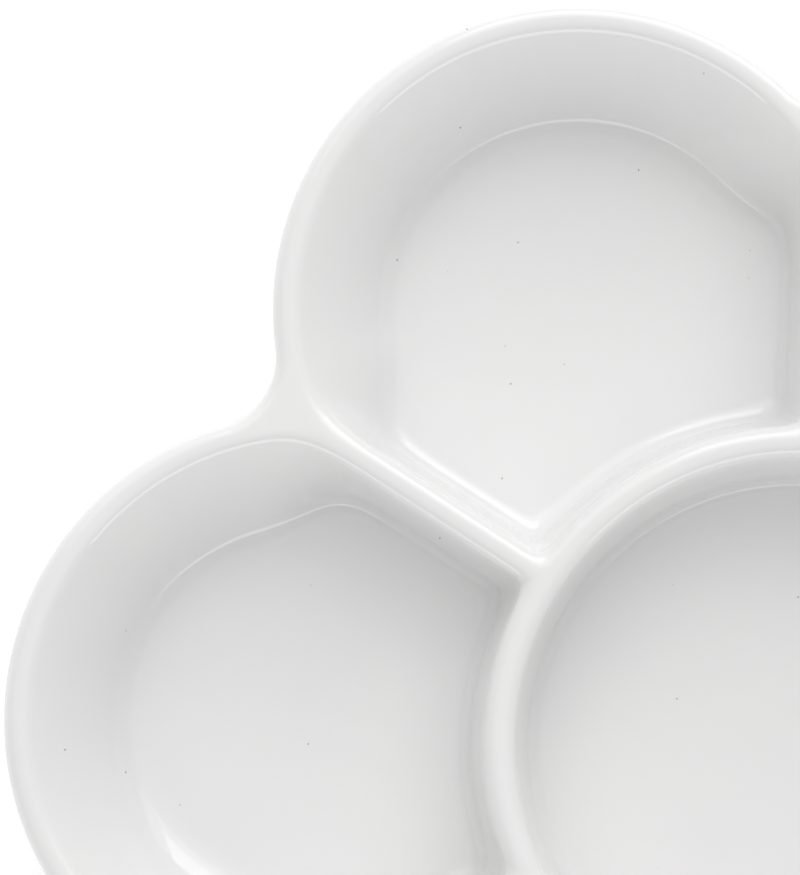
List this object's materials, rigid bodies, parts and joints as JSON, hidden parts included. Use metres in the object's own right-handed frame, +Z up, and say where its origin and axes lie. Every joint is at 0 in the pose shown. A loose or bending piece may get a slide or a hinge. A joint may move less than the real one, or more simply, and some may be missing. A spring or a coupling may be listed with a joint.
{
  "type": "mixing palette",
  "caption": "Flower-shaped palette of white glazed porcelain with open petal wells round a round centre well, for holding and mixing paint, on a bare foot ring.",
  "frame": {"origin": "On the surface that the palette rests on, under the middle of the centre well.", "axes": "+Z is up, out of the wells. +X points through the middle of a petal well, and the petals follow every 60 degrees."},
  "size_m": [0.1822, 0.1672, 0.02],
  "materials": {
    "bare_porcelain": "matt, unglazed",
    "white_glaze": "gloss"
  },
  "bodies": {
    "root": {"porcelain_body": "bare_porcelain", "upper_glaze": "white_glaze", "underside_glaze": "white_glaze"}
  },
  "joints": []
}
